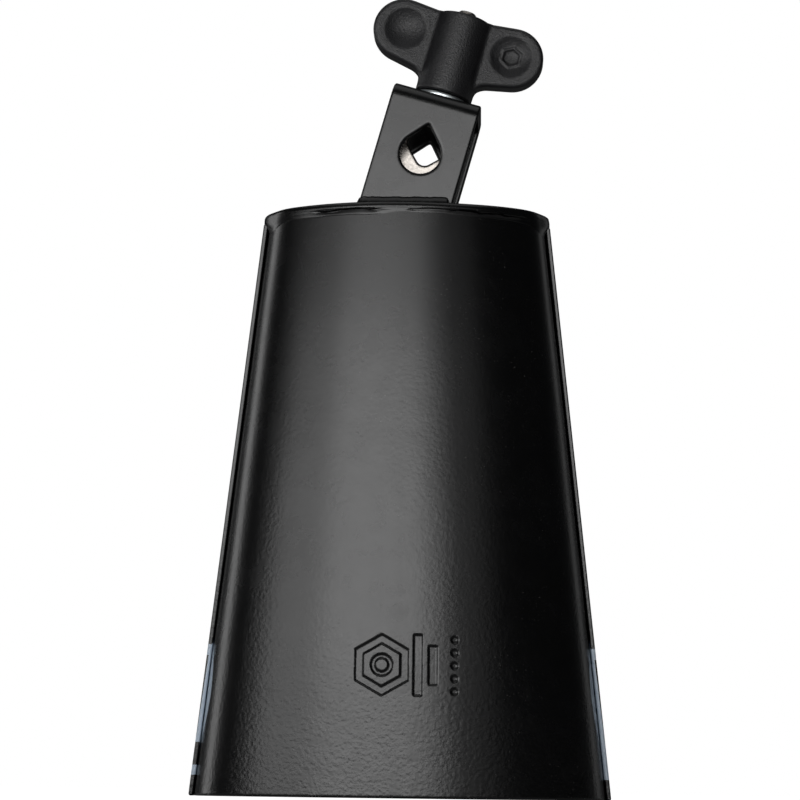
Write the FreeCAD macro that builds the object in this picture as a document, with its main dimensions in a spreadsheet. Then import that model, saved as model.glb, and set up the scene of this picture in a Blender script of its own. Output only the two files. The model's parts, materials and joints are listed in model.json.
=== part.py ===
import FreeCAD, Part
import math
import os
import Sketcher

# Hand-played cowbell with a clamp bracket on its top.
# Millimetres.  +Z is up, the open mouth lies in the plane Z = 0, the front panel faces -Y.

Vector = FreeCAD.Vector

# ---------------------------------------------------------------- driving sizes
SIZES = {
    # bell body
    "sheet_thickness": 1.6,
    "shell_height": 199.4,
    "mouth_half_width": 70.7,
    "mouth_half_depth": 45.0,
    "mouth_panel_radius": 99.0,
    "mouth_corner_radius": 31.0,
    "top_half_width": 48.7,
    "top_half_depth": 31.7,
    "top_panel_radius": 67.6,
    "top_corner_radius": 21.8,
    "panel_arc_angle": 35.0,
    "lap_width": 1.7,
    "front_flange_end": 3.0,
    "rear_flange_end": 6.0,
    # closing plate and its weld
    "cap_weld_height": 0.8,
    "cap_weld_inset": 0.3,
    "cap_weld_width": 2.4,
    "cap_thickness": 2.8,
    "cap_edge_radius": 1.8,
    # strap bracket
    "strap_tilt": 15.5,
    "strap_turn": -1.7,
    "strap_offset": -0.9,
    "strap_width": 31.7,
    "strap_depth": 31.0,
    "strap_rise": 44.0,
    "strap_gauge": 2.9,
    "strap_bend_radius": 4.5,
    "rod_hole_radius": 7.5,
    "rod_hole_centre": 21.3,
    "stud_hole_radius": 4.5,
    "stud_offset": 0.8,
    # bracket welds
    "bead_height": 5.2,
    "bead_reach": 4.4,
    "bead_length": 32.6,
    "bead_bulge": 0.9,
    # eyebolt
    "eye_width": 24.0,
    "eye_gauge": 7.0,
    "eye_bottom": 13.6,
    "eye_top": 37.0,
    "eye_corner_radius": 9.0,
    "eye_shoulder_radius": 5.0,
    "eye_notch": 18.7,
    "eye_notch_radius": 3.0,
    "eye_opening_width": 15.0,
    "eye_opening_top": 33.0,
    "eye_opening_radius": 2.5,
    "stud_radius": 4.0,
    "stud_tip": 78.6,
    "stud_chamfer": 1.3,
    # washer
    "washer_radius": 9.6,
    "washer_bore_radius": 4.3,
    "washer_gauge": 2.0,
    # wing nut
    "nut_gap": 0.4,
    "hub_radius": 10.1,
    "hub_height": 29.4,
    "hub_bore_radius": 4.6,
    "wing_centre": 20.2,
    "wing_centre_height": 19.6,
    "wing_end_radius": 10.8,
    "wing_root_low": 5.6,
    "wing_root_high": 28.8,
    "wing_gauge": 8.0,
    "wing_edge_radius": 1.5,
    "dimple_radius": 7.2,
    "dimple_depth": 2.0,
    # threaded insert
    "insert_across_flats": 13.0,
    "insert_length": 12.0,
    "insert_recess": 0.3,
    "insert_clearance": 0.05,
}

doc = FreeCAD.newDocument("cowbell")
sheet = doc.addObject("Spreadsheet::Sheet", "sizes")
for row, (alias, number) in enumerate(SIZES.items(), start=1):
    sheet.set(f"A{row}", alias)
    sheet.set(f"B{row}", str(number))
    sheet.setAlias(f"B{row}", alias)
doc.recompute()


def size(alias):
    """A driving size, read back from the sheet."""
    return float(sheet.get(alias))


# ---------------------------------------------------------------- small helpers
def new_body(label):
    body = doc.addObject("PartDesign::Body", label)
    body.Label = label
    return body


def origin_plane(body, role):
    return next(item for item in body.Origin.OriginFeatures if item.Role == role)


def new_sketch(body, name, role="XY_Plane", lift=None):
    """A sketch on one of the body's own origin planes, lifted by a sheet expression."""
    sketch = body.newObject("Sketcher::SketchObject", name)
    sketch.AttachmentSupport = [(origin_plane(body, role), "")]
    sketch.MapMode = "FlatFace"
    if lift:
        sketch.setExpression("AttachmentOffset.Base.z", lift)
    return sketch


def constrain(sketch, expression, *terms):
    """Adds one dimension to a sketch and ties it to the sheet."""
    index = sketch.addConstraint(Sketcher.Constraint(*terms))
    sketch.setExpression(f"Constraints[{index}]", expression)


def line(start, end):
    return Part.LineSegment(Vector(*start, 0), Vector(*end, 0))


def arc(centre, radius, first_degrees, last_degrees):
    circle = Part.Circle(Vector(*centre, 0), Vector(0, 0, 1), radius)
    return Part.ArcOfCircle(circle, math.radians(first_degrees), math.radians(last_degrees))


def meeting_ends(first, second):
    """Which ends of two pieces lie on the same point: 1 is a start, 2 is an end."""
    for one, start in ((2, first.EndPoint), (1, first.StartPoint)):
        for other, end in ((1, second.StartPoint), (2, second.EndPoint)):
            if (start - end).Length < 1e-6:
                return one, other
    raise RuntimeError("two pieces of an outline don't meet")


def closed_outline(sketch, pieces, smooth=()):
    """Adds the pieces in order and joins each to the next; joints listed in smooth are tangent."""
    for piece in pieces:
        sketch.addGeometry(piece, False)
    for step, piece in enumerate(pieces):
        after = (step + 1) % len(pieces)
        one, other = meeting_ends(piece, pieces[after])
        kind = "Tangent" if step in smooth else "Coincident"
        sketch.addConstraint(Sketcher.Constraint(kind, step, one, after, other))


def pad(body, sketch, name, length, midplane=False):
    feature = body.newObject("PartDesign::Pad", name)
    feature.Profile = sketch
    feature.Midplane = midplane
    feature.setExpression("Length", length)
    doc.recompute()
    return feature


def pocket(body, sketch, name, length=None, reverse=False):
    """Cuts through everything both ways, or to a depth when a length is given."""
    before = body.Shape.Volume
    feature = body.newObject("PartDesign::Pocket", name)
    feature.Profile = sketch
    feature.Reversed = reverse
    if length:
        feature.setExpression("Length", length)
    else:
        feature.Type = "ThroughAll"
        feature.Midplane = True
    doc.recompute()
    if body.Shape.Volume > before - 1e-3:
        raise RuntimeError(f"{name} removes nothing")


def edges_where(feature, test):
    """Names of the feature's edges whose shape passes the test."""
    edges = enumerate(feature.Shape.Edges, start=1)
    return [f"Edge{number}" for number, edge in edges if test(edge)]


def round_edges(body, feature, name, radius, test):
    fillet = body.newObject("PartDesign::Fillet", name)
    fillet.Base = (feature, edges_where(feature, test))
    fillet.setExpression("Radius", radius)
    doc.recompute()


# ---------------------------------------------------------------- bell body
def half_outline(level, extra, inset, flange_end, turned):
    """One half of the bell's plan at the mouth or the top, as a closed D.

    The panel is flat in its middle, curves away on a large radius and turns the corner on a
    smaller one, then runs straight back as a side flange.  turned rotates it to the rear half.
    """
    half_width = size(f"{level}_half_width") + extra - inset
    half_depth = size(f"{level}_half_depth") - inset
    panel = size(f"{level}_panel_radius") - inset
    corner = size(f"{level}_corner_radius") - inset
    angle = size("panel_arc_angle")
    sine = math.sin(math.radians(angle))
    cosine = math.cos(math.radians(angle))
    flat = half_width - corner - (panel - corner) * sine
    panel_y = panel - half_depth
    corner_x = half_width - corner
    corner_y = panel_y - (panel - corner) * cosine
    turn = 180 if turned else 0
    sign = -1 if turned else 1

    def point(x, y):
        return (sign * x, sign * y)

    return [
        line(point(-half_width, flange_end), point(-half_width, corner_y)),
        arc(point(-corner_x, corner_y), corner, 180 + turn, 270 - angle + turn),
        arc(point(-flat, panel_y), panel, 270 - angle + turn, 270 + turn),
        line(point(-flat, -half_depth), point(flat, -half_depth)),
        arc(point(flat, panel_y), panel, 270 + turn, 270 + angle + turn),
        arc(point(corner_x, corner_y), corner, 270 + angle + turn, 360 + turn),
        line(point(half_width, corner_y), point(half_width, flange_end)),
        line(point(half_width, flange_end), point(-half_width, flange_end)),
    ]


def shell_section(body, name, level, extra, inset, flange_end, turned):
    """The sketch of one D at the mouth or the top, with its radii and widths tied to the sheet."""
    lift = "sizes.shell_height" if level == "top" else None
    sketch = new_sketch(body, name, lift=lift)
    pieces = half_outline(level, extra, inset, flange_end, turned)
    closed_outline(sketch, pieces, smooth=(0, 1, 2, 3, 4, 5))
    for upright in (0, 6):
        sketch.addConstraint(Sketcher.Constraint("Vertical", upright))
    for flat in (3, 7):
        sketch.addConstraint(Sketcher.Constraint("Horizontal", flat))
    less = f" - {inset / size('sheet_thickness'):g} * sizes.sheet_thickness"
    more = f" + {extra / size('lap_width'):g} * sizes.lap_width"
    sketch.addConstraint(Sketcher.Constraint("Equal", 1, 5))
    sketch.addConstraint(Sketcher.Constraint("Equal", 2, 4))
    constrain(sketch, f"sizes.{level}_corner_radius{less}", "Radius", 1, pieces[1].Radius)
    constrain(sketch, f"sizes.{level}_panel_radius{less}", "Radius", 2, pieces[2].Radius)
    width = abs(pieces[7].StartPoint.x - pieces[7].EndPoint.x)
    constrain(sketch, f"2 * (sizes.{level}_half_width{more}{less})", "Distance", 7, width)
    return sketch


def make_shell(label, extra, flange_end, turned):
    """A pressed half shell: a lofted outer form with a lofted inner form taken out of it."""
    body = new_body(label)
    outer = [
        shell_section(body, f"{label}_{level}_outer", level, extra, 0, flange_end, turned)
        for level in ("mouth", "top")
    ]
    form = body.newObject("PartDesign::AdditiveLoft", f"{label}_form")
    form.Profile = outer[0]
    form.Sections = [(outer[1], [""])]
    form.Ruled = True
    doc.recompute()
    sheet_thickness = size("sheet_thickness")
    inner = [
        shell_section(
            body, f"{label}_{level}_inner", level, extra, sheet_thickness, flange_end, turned
        )
        for level in ("mouth", "top")
    ]
    hollow = body.newObject("PartDesign::SubtractiveLoft", f"{label}_hollow")
    hollow.Profile = inner[0]
    hollow.Sections = [(inner[1], [""])]
    hollow.Ruled = True
    doc.recompute()
    return body


def full_outline(extra, inset):
    """The whole plan at the top: both halves joined at the sides."""
    front = half_outline("top", extra, inset, 0, False)
    rear = half_outline("top", extra, inset, 0, True)
    right = line(
        (front[5].EndPoint.x, front[5].EndPoint.y), (rear[1].StartPoint.x, rear[1].StartPoint.y)
    )
    left = line(
        (rear[5].EndPoint.x, rear[5].EndPoint.y), (front[1].StartPoint.x, front[1].StartPoint.y)
    )
    return front[1:6] + [right] + rear[1:6] + [left]


def plan_sketch(body, name, lift, extra, inset, width):
    sketch = new_sketch(body, name, lift=lift)
    closed_outline(sketch, full_outline(extra, inset), smooth=range(12))
    for upright in (5, 11):
        sketch.addConstraint(Sketcher.Constraint("Vertical", upright))
    for flat in (2, 8):
        sketch.addConstraint(Sketcher.Constraint("Horizontal", flat))
    half_width = size("top_half_width") + extra - inset
    constrain(sketch, width, "DistanceX", 11, 1, 5, 1, 2 * half_width)
    return sketch


def make_cap_weld():
    """The fused bead in the joint between the shells' top edge and the closing plate."""
    body = new_body("cap_weld")
    inset = size("cap_weld_inset")
    rim = plan_sketch(
        body, "weld_rim", "sizes.shell_height", 0, inset,
        "2 * (sizes.top_half_width - sizes.cap_weld_inset)",
    )
    pad(body, rim, "weld_ring", "sizes.cap_weld_height")
    inside = plan_sketch(
        body, "weld_inside", "sizes.shell_height", 0, inset + size("cap_weld_width"),
        "2 * (sizes.top_half_width - sizes.cap_weld_inset - sizes.cap_weld_width)",
    )
    pocket(body, inside, "weld_bore", "sizes.cap_weld_height", reverse=True)
    return body


def make_top_cap():
    """The flat closing plate with its rolled top edge."""
    body = new_body("top_cap")
    plan = plan_sketch(
        body, "cap_plan", "sizes.shell_height + sizes.cap_weld_height", size("lap_width"), 0,
        "2 * (sizes.top_half_width + sizes.lap_width)",
    )
    plate = pad(body, plan, "cap_plate", "sizes.cap_thickness")
    top = size("shell_height") + size("cap_weld_height") + size("cap_thickness")
    round_edges(
        body, plate, "cap_edge", "sizes.cap_edge_radius",
        lambda edge: edge.BoundBox.ZMin > top - 0.01,
    )
    return body


# ---------------------------------------------------------------- strap bracket
CAP_TOP = size("shell_height") + size("cap_weld_height") + size("cap_thickness")
FOOT = Vector(size("strap_offset"), 0, CAP_TOP)
TURN = FreeCAD.Rotation(Vector(0, 0, 1), size("strap_turn"))
LEAN = TURN.multiply(FreeCAD.Rotation(Vector(0, 1, 0), size("strap_tilt")))
BRACKET_PLACE = FreeCAD.Placement(FOOT, LEAN)
STUD_PLACE = FreeCAD.Placement(FOOT + LEAN.multVec(Vector(size("stud_offset"), 0, 0)), LEAN)


def teardrop(radius, centre):
    """A round hole with a right-angled notch on top, which centres the rod."""
    side = radius / math.sqrt(2)
    tip = (0, centre + radius * math.sqrt(2))
    return [
        arc((0, centre), radius, 135, 405),
        line((side, centre + side), tip),
        line(tip, (-side, centre + side)),
    ]


def make_bracket():
    """One strap bent into an upside-down U, cut to sit flat on the cap although it leans."""
    body = new_body("mount_bracket")
    half_depth = size("strap_depth") / 2
    gauge = size("strap_gauge")
    rise = size("strap_rise")
    bend = size("strap_bend_radius")
    inner_bend = bend - gauge
    spare = size("strap_width") / 2 * math.tan(math.radians(size("strap_tilt"))) + 1
    profile = new_sketch(body, "strap_profile", "YZ_Plane")
    corner_y = half_depth - bend
    corner_z = rise - bend
    pieces = [
        line((-half_depth, -spare), (-half_depth + gauge, -spare)),
        line((-half_depth + gauge, -spare), (-half_depth + gauge, corner_z)),
        arc((-corner_y, corner_z), inner_bend, 90, 180),
        line((-corner_y, rise - gauge), (corner_y, rise - gauge)),
        arc((corner_y, corner_z), inner_bend, 0, 90),
        line((half_depth - gauge, corner_z), (half_depth - gauge, -spare)),
        line((half_depth - gauge, -spare), (half_depth, -spare)),
        line((half_depth, -spare), (half_depth, corner_z)),
        arc((corner_y, corner_z), bend, 0, 90),
        line((corner_y, rise), (-corner_y, rise)),
        arc((-corner_y, corner_z), bend, 90, 180),
        line((-half_depth, corner_z), (-half_depth, -spare)),
    ]
    closed_outline(profile, pieces, smooth=(1, 2, 3, 4, 7, 8, 9, 10))
    constrain(profile, "sizes.strap_bend_radius", "Radius", 8, bend)
    constrain(profile, "sizes.strap_depth", "DistanceX", 11, 1, 7, 2, 2 * half_depth)
    pad(body, profile, "strap", "sizes.strap_width", midplane=True)

    holes = new_sketch(body, "rod_holes", "XZ_Plane")
    closed_outline(holes, teardrop(size("rod_hole_radius"), size("rod_hole_centre")))
    constrain(holes, "sizes.rod_hole_radius", "Radius", 0, size("rod_hole_radius"))
    constrain(holes, "sizes.rod_hole_centre", "DistanceY", -1, 1, 0, 3, size("rod_hole_centre"))
    pocket(body, holes, "rod_hole_cut")

    foot = new_sketch(body, "foot_line", "XZ_Plane")
    reach = size("strap_width")
    slope = math.tan(math.radians(size("strap_tilt")))
    closed_outline(
        foot,
        [
            line((-reach, -reach * slope), (reach, reach * slope)),
            line((reach, reach * slope), (reach, -2 * reach)),
            line((reach, -2 * reach), (-reach, -2 * reach)),
            line((-reach, -2 * reach), (-reach, -reach * slope)),
        ],
    )
    foot.addConstraint(Sketcher.Constraint("PointOnObject", -1, 1, 0))
    constrain(foot, "sizes.strap_tilt", "Angle", -1, 1, 0, 1, math.radians(size("strap_tilt")))
    pocket(body, foot, "foot_cut")

    stud_hole = new_sketch(body, "stud_hole", lift="sizes.strap_rise")
    stud_hole.addGeometry(
        Part.Circle(Vector(size("stud_offset"), 0, 0), Vector(0, 0, 1), size("stud_hole_radius")),
        False,
    )
    constrain(stud_hole, "sizes.stud_hole_radius", "Radius", 0, size("stud_hole_radius"))
    pocket(body, stud_hole, "stud_hole_cut", "2 * sizes.strap_gauge")
    body.Placement = BRACKET_PLACE
    return body


def make_bracket_weld(label, turn):
    """A convex bead along the foot of one plate of the bracket, turned to that plate's side."""
    body = new_body(label)
    plate = size("strap_depth") / 2
    height = size("bead_height")
    reach = size("bead_reach")
    chord = math.hypot(reach, height)
    bulge = size("bead_bulge")
    radius = (chord**2 / 4 + bulge**2) / (2 * bulge)
    back = (radius - bulge) / chord
    centre = (plate + reach / 2 - back * height, height / 2 - back * reach)
    first = math.degrees(math.atan2(-centre[1], plate + reach - centre[0]))
    last = math.degrees(math.atan2(height - centre[1], plate - centre[0]))
    sketch = new_sketch(body, f"{label}_profile", "YZ_Plane")
    closed_outline(
        sketch,
        [
            line((plate, 0), (plate + reach, 0)),
            arc(centre, radius, first, last),
            line((plate, height), (plate, 0)),
        ],
    )
    sketch.addConstraint(Sketcher.Constraint("Horizontal", 0))
    sketch.addConstraint(Sketcher.Constraint("Vertical", 2))
    constrain(sketch, "sizes.bead_reach", "Distance", 0, reach)
    constrain(sketch, "sizes.bead_height", "Distance", 2, height)
    pad(body, sketch, f"{label}_bead", "sizes.bead_length", midplane=True)
    body.Placement = FreeCAD.Placement(
        FOOT, TURN.multiply(FreeCAD.Rotation(Vector(0, 0, 1), turn))
    )
    return body


# ---------------------------------------------------------------- clamp hardware
def make_eyebolt():
    """A flat forged eye with a right-angled seat for the rod, and its round stud."""
    body = new_body("eyebolt")
    half = size("eye_width") / 2
    bottom = size("eye_bottom")
    top = size("eye_top")
    low = size("eye_corner_radius")
    high = size("eye_shoulder_radius")
    outer = new_sketch(body, "eye_outer", "XZ_Plane")
    closed_outline(
        outer,
        [
            line((-half + low, bottom), (half - low, bottom)),
            arc((half - low, bottom + low), low, 270, 360),
            line((half, bottom + low), (half, top - high)),
            arc((half - high, top - high), high, 0, 90),
            line((half - high, top), (-half + high, top)),
            arc((-half + high, top - high), high, 90, 180),
            line((-half, top - high), (-half, bottom + low)),
            arc((-half + low, bottom + low), low, 180, 270),
        ],
        smooth=range(8),
    )
    constrain(outer, "sizes.eye_corner_radius", "Radius", 1, low)
    constrain(outer, "sizes.eye_shoulder_radius", "Radius", 3, high)
    constrain(outer, "sizes.eye_width", "DistanceX", 6, 2, 2, 1, 2 * half)
    pad(body, outer, "eye_plate", "sizes.eye_gauge", midplane=True)

    notch = size("eye_notch")
    notch_radius = size("eye_notch_radius")
    side = notch_radius / math.sqrt(2)
    opening = size("eye_opening_width") / 2
    ceiling = size("eye_opening_top")
    corner = size("eye_opening_radius")
    inner = new_sketch(body, "eye_inner", "XZ_Plane")
    closed_outline(
        inner,
        [
            arc((0, notch + notch_radius * math.sqrt(2)), notch_radius, 225, 315),
            line((side, notch + side), (opening, notch + opening)),
            line((opening, notch + opening), (opening, ceiling - corner)),
            arc((opening - corner, ceiling - corner), corner, 0, 90),
            line((opening - corner, ceiling), (-opening + corner, ceiling)),
            arc((-opening + corner, ceiling - corner), corner, 90, 180),
            line((-opening, ceiling - corner), (-opening, notch + opening)),
            line((-opening, notch + opening), (-side, notch + side)),
        ],
        smooth=(0, 2, 3, 4, 5, 7),
    )
    constrain(inner, "sizes.eye_notch_radius", "Radius", 0, notch_radius)
    constrain(inner, "sizes.eye_opening_radius", "Radius", 3, corner)
    constrain(inner, "sizes.eye_opening_width", "DistanceX", 6, 1, 2, 2, 2 * opening)
    pocket(body, inner, "eye_opening")

    shank = new_sketch(body, "stud_section", lift="sizes.eye_top - 0.5")
    shank.addGeometry(Part.Circle(Vector(), Vector(0, 0, 1), size("stud_radius")), False)
    shank.addConstraint(Sketcher.Constraint("Coincident", 0, 3, -1, 1))
    constrain(shank, "sizes.stud_radius", "Radius", 0, size("stud_radius"))
    stud = pad(body, shank, "stud", "sizes.stud_tip - sizes.eye_top + 0.5")
    tip = size("stud_tip")
    chamfer = body.newObject("PartDesign::Chamfer", "stud_end")
    chamfer.Base = (stud, edges_where(stud, lambda edge: edge.BoundBox.ZMin > tip - 0.01))
    chamfer.setExpression("Size", "sizes.stud_chamfer")
    doc.recompute()
    body.Placement = STUD_PLACE
    return body


def ring_body(label, outer_alias, inner_alias, lift, length):
    """A flat ring, such as a washer."""
    body = new_body(label)
    sketch = new_sketch(body, f"{label}_plan", lift=lift)
    for index, alias in enumerate((outer_alias, inner_alias)):
        sketch.addGeometry(Part.Circle(Vector(), Vector(0, 0, 1), size(alias)), False)
        sketch.addConstraint(Sketcher.Constraint("Coincident", index, 3, -1, 1))
        constrain(sketch, f"sizes.{alias}", "Radius", index, size(alias))
    pad(body, sketch, f"{label}_plate", length)
    body.Placement = STUD_PLACE
    return body


NUT_BASE = "sizes.strap_rise + sizes.washer_gauge + sizes.nut_gap"
NUT_HEIGHT = size("strap_rise") + size("washer_gauge") + size("nut_gap")
INSERT_BASE = f"{NUT_BASE} + sizes.insert_recess"


def hexagon(across_flats):
    corner = across_flats / math.sqrt(3)
    corners = [
        (corner * math.cos(math.radians(60 * side)), corner * math.sin(math.radians(60 * side)))
        for side in range(6)
    ]
    return [line(corners[side], corners[(side + 1) % 6]) for side in range(6)]


def wing_outline(side):
    """One wing seen from the front: a round end joined to the hub by two straight edges."""
    centre_x = size("wing_centre")
    centre_z = NUT_HEIGHT + size("wing_centre_height")
    radius = size("wing_end_radius")
    root_x = size("hub_radius") / 2
    low = (root_x, NUT_HEIGHT + size("wing_root_low"))
    high = (root_x, NUT_HEIGHT + size("wing_root_high"))

    def tangent_angle(point, upper):
        """Direction from the wing's centre to where a line from the point touches the round end."""
        dx = point[0] - centre_x
        dz = point[1] - centre_z
        spread = math.acos(radius / math.hypot(dx, dz))
        return math.atan2(dz, dx) + (-spread if upper else spread)

    def on_end(angle):
        return (centre_x + radius * math.cos(angle), centre_z + radius * math.sin(angle))

    lower_angle = tangent_angle(low, False)
    upper_angle = tangent_angle(high, True)
    right = [
        line(low, on_end(lower_angle)),
        arc((centre_x, centre_z), radius, math.degrees(lower_angle), math.degrees(upper_angle)),
        line(on_end(upper_angle), high),
        line(high, low),
    ]
    if side > 0:
        return right

    def flip(point):
        return (-point.x, point.y)

    lower = flip(right[0].EndPoint)
    upper = flip(right[2].StartPoint)
    return [
        line(flip(right[2].EndPoint), upper),
        arc(
            (-centre_x, centre_z), radius,
            180 - math.degrees(upper_angle), 180 - math.degrees(lower_angle),
        ),
        line(lower, flip(right[0].StartPoint)),
        line(flip(right[0].StartPoint), flip(right[2].EndPoint)),
    ]


def make_wing_nut():
    """The moulded two-winged nut: a round hub, two flat wings with thumb dimples, a bore."""
    body = new_body("wing_nut")
    hub = new_sketch(body, "hub_section", lift=NUT_BASE)
    hub.addGeometry(Part.Circle(Vector(), Vector(0, 0, 1), size("hub_radius")), False)
    hub.addConstraint(Sketcher.Constraint("Coincident", 0, 3, -1, 1))
    constrain(hub, "sizes.hub_radius", "Radius", 0, size("hub_radius"))
    pad(body, hub, "hub", "sizes.hub_height")
    for name, side in (("left", -1), ("right", 1)):
        wing = new_sketch(body, f"{name}_wing_outline", "XZ_Plane")
        closed_outline(wing, wing_outline(side), smooth=(0, 1))
        constrain(wing, "sizes.wing_end_radius", "Radius", 1, size("wing_end_radius"))
        pad(body, wing, f"{name}_wing", "sizes.wing_gauge", midplane=True)
    half_gauge = size("wing_gauge") / 2
    outside = size("hub_radius") + 0.5

    def on_wing_rim(edge):
        box = edge.BoundBox
        flat = box.YMax - box.YMin < 1e-4 and abs(abs(box.YMin) - half_gauge) < 1e-4
        return flat and max(abs(box.XMin), abs(box.XMax)) > outside

    round_edges(body, body.Tip, "wing_rims", "sizes.wing_edge_radius", on_wing_rim)

    depth = size("dimple_depth")
    ball = (size("dimple_radius") ** 2 + depth**2) / (2 * depth)
    for name, side in (("left", -1), ("right", 1)):
        for face, facing in (("front", -1), ("back", 1)):
            dimple = body.newObject("PartDesign::SubtractiveSphere", f"{name}_{face}_dimple")
            dimple.setExpression(
                "Radius",
                "(sizes.dimple_radius ^ 2 + sizes.dimple_depth ^ 2) / (2 * sizes.dimple_depth)",
            )
            dimple.AttachmentSupport = [(origin_plane(body, "XY_Plane"), "")]
            dimple.MapMode = "FlatFace"
            dimple.AttachmentOffset = FreeCAD.Placement(
                Vector(
                    side * size("wing_centre"),
                    facing * (half_gauge + ball - depth),
                    NUT_HEIGHT + size("wing_centre_height"),
                ),
                FreeCAD.Rotation(),
            )
            doc.recompute()

    bore = new_sketch(body, "hub_bore", lift=NUT_BASE)
    bore.addGeometry(Part.Circle(Vector(), Vector(0, 0, 1), size("hub_bore_radius")), False)
    bore.addConstraint(Sketcher.Constraint("Coincident", 0, 3, -1, 1))
    constrain(bore, "sizes.hub_bore_radius", "Radius", 0, size("hub_bore_radius"))
    pocket(body, bore, "hub_bore_cut", "sizes.hub_height", reverse=True)

    seat = new_sketch(body, "insert_seat", lift=NUT_BASE)
    closed_outline(seat, hexagon(size("insert_across_flats")))
    pocket(body, seat, "insert_seat_cut", "sizes.insert_recess + sizes.insert_length", reverse=True)
    body.Placement = STUD_PLACE
    return body


def make_insert():
    """The steel hexagon moulded into the hub, which carries the nut's thread."""
    body = new_body("threaded_insert")
    sketch = new_sketch(body, "insert_section", lift=INSERT_BASE)
    closed_outline(sketch, hexagon(size("insert_across_flats")))
    bore = size("stud_radius") + size("insert_clearance")
    sketch.addGeometry(Part.Circle(Vector(), Vector(0, 0, 1), bore), False)
    sketch.addConstraint(Sketcher.Constraint("Coincident", 6, 3, -1, 1))
    constrain(sketch, "sizes.stud_radius + sizes.insert_clearance", "Radius", 6, bore)
    pad(body, sketch, "insert_block", "sizes.insert_length")
    body.Placement = STUD_PLACE
    return body


# ---------------------------------------------------------------- the assembly
sub_parts = [
    make_shell("front_shell", 0, size("front_flange_end"), False),
    make_shell("rear_shell", size("lap_width"), size("rear_flange_end"), True),
    make_cap_weld(),
    make_top_cap(),
    make_bracket(),
    make_bracket_weld("bracket_weld_front", 180),
    make_bracket_weld("bracket_weld_rear", 0),
    make_eyebolt(),
    ring_body(
        "washer", "washer_radius", "washer_bore_radius", "sizes.strap_rise", "sizes.washer_gauge"
    ),
    make_wing_nut(),
    make_insert(),
]
doc.recompute()

for item in doc.Objects:
    if "Invalid" in item.State or "Error" in item.State:
        raise RuntimeError(f"{item.Name} failed: {item.State}")
for sub_part in sub_parts:
    shape = sub_part.Shape
    if shape.isNull() or not shape.isValid() or len(shape.Solids) != 1:
        raise RuntimeError(f"{sub_part.Label} is not one valid solid")

os.makedirs("parts", exist_ok=True)
for sub_part in sub_parts:
    sub_part.Shape.exportStep(f"parts/{sub_part.Label}.step")
    box = sub_part.Shape.optimalBoundingBox(True, False)
    print(
        f"{sub_part.Label:20s} {sub_part.Shape.Volume:10.1f} mm3"
        f"  X {box.XMin:7.2f} {box.XMax:7.2f}  Y {box.YMin:7.2f} {box.YMax:7.2f}"
        f"  Z {box.ZMin:7.2f} {box.ZMax:7.2f}"
    )
stud_axis = LEAN.multVec(Vector(0, 0, 1))
print("stud axis", [round(part, 6) for part in stud_axis], "through", STUD_PLACE.Base)
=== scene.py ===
# %% [markdown]
# # A hand-played cowbell
# A cowbell is two pressed half shells of steel sheet, lapped and welded along the sides, with a
# closing plate on top and a strap bracket that clamps it to a rod.  Everything but the clamp's
# fastener is powder coated in satin black after it is welded.
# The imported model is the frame: it says where each part is, and each piece here is made around it.

# %% The frame
import json
import math
from functools import partial

import bmesh
import bpy
import numpy as np
from mathutils import Matrix, Vector


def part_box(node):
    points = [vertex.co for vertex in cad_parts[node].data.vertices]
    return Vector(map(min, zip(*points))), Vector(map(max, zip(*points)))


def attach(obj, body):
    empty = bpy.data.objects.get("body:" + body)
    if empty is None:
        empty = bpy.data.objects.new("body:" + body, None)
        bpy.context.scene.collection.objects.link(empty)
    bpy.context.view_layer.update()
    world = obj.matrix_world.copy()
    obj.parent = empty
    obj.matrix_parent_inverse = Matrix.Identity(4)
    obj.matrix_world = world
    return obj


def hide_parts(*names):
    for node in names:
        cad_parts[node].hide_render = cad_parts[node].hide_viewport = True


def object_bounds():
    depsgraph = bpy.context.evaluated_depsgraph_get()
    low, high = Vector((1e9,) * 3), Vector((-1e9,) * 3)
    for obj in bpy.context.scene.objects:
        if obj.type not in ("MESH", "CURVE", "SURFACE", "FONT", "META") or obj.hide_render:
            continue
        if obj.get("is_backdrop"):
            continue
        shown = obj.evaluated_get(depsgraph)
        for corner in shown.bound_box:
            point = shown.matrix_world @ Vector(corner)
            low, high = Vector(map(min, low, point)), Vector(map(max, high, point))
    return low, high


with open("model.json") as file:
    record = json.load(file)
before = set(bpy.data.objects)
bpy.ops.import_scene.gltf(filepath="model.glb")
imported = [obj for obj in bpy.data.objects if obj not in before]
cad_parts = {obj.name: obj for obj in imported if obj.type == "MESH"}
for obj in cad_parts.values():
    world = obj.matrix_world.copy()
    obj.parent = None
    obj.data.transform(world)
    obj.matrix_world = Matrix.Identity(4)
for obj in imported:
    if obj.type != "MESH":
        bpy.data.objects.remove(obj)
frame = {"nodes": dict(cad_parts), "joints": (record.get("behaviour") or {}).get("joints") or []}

cad_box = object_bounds()
scene = bpy.context.scene
MM = 0.001

# %% [markdown]
# ## Sizes
# The bell's wall is a ruled surface: straight lines run from the mouth's outline up to the top's.
# Both outlines have the same pieces: a flat middle, a slow panel arc, a tighter corner arc and a
# straight side flange.  Widths and heights come from the frame's boxes; the sheet's thickness, the
# panel's angle and the arcs' radii are written here, because a box doesn't show them.

# %% The bell's sizes, in millimetres
def box_mm(node):
    low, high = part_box(node)
    return np.array(low) / MM, np.array(high) / MM


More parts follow.
